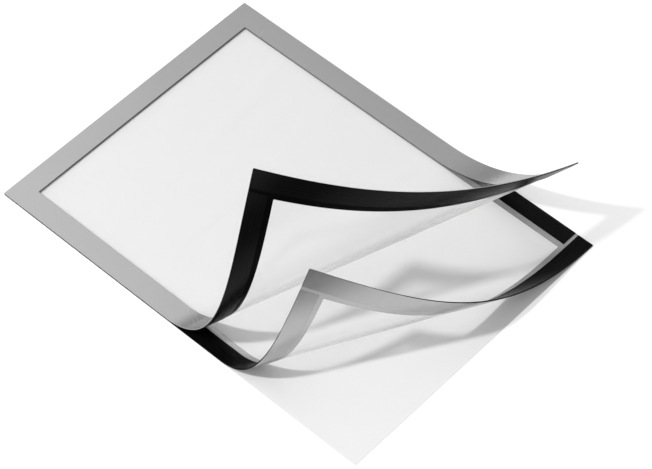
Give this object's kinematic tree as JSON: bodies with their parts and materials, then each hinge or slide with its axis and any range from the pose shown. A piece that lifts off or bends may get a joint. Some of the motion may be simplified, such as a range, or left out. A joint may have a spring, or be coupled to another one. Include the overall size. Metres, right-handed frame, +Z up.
{
  "type": "magnetic document frame",
  "caption": "Self-adhesive magnetic frame for a sheet of paper: a clear silver-edged front panel folds back from a clear back frame that peels off its release liner.",
  "frame": {"origin": "middle of the release liner's underside, which lies on the table", "axes": "+Z up out of the frame's face, +Y along the long edges towards the short edge with the crease, +X along the short edges; the lifted corners are on the -X, -Y side"},
  "size_m": [0.242, 0.323, 0.1299],
  "materials": {
    "clear_film": "clear PET film with a fine anti-glare surface",
    "silver_border": "satin silver-printed film with a fine grain",
    "black_backing": "black film behind the silver border",
    "magnet_rubber": "black flexible magnet strip, smooth and slightly glossy",
    "grey_border": "grey-silver film, satin",
    "adhesive": "double-sided adhesive tape, slightly glossy",
    "liner_paper": "white siliconised release paper, smooth"
  },
  "bodies": {
    "liner": {"release_liner": "liner_paper"},
    "back_frame": {"adhesive_strip_hinge": "adhesive", "adhesive_strip_free": "adhesive", "adhesive_strip_left": "adhesive", "adhesive_strip_right": "adhesive", "back_border": "grey_border", "back_film": "clear_film", "back_magnet_hinge": "magnet_rubber", "back_magnet_free": "magnet_rubber", "back_magnet_left": "magnet_rubber", "back_magnet_right": "magnet_rubber", "hinge_bond_tape": "adhesive", "front_magnet_hinge": "magnet_rubber", "front_backing_hinge_band": "black_backing", "front_film_hinge_band": "clear_film", "front_border_hinge_band": "silver_border"},
    "front_panel": {"front_magnet_left": "magnet_rubber", "front_magnet_right": "magnet_rubber", "front_magnet_free": "magnet_rubber", "front_backing": "black_backing", "front_film": "clear_film", "front_border": "silver_border"}
  },
  "joints": [
    {"name": "back_frame_peel", "type": "hinge", "parent": "liner", "child": "back_frame", "pos_m": [0, 0.1615, 0.00015], "axis": [-1, 0, 0], "range_deg": [0, 90]},
    {"name": "front_panel_fold", "type": "hinge", "parent": "back_frame", "child": "front_panel", "pos_m": [0, 0.14685, 0.0021], "axis": [-1, 0, 0], "range_deg": [0, 135]}
  ]
}
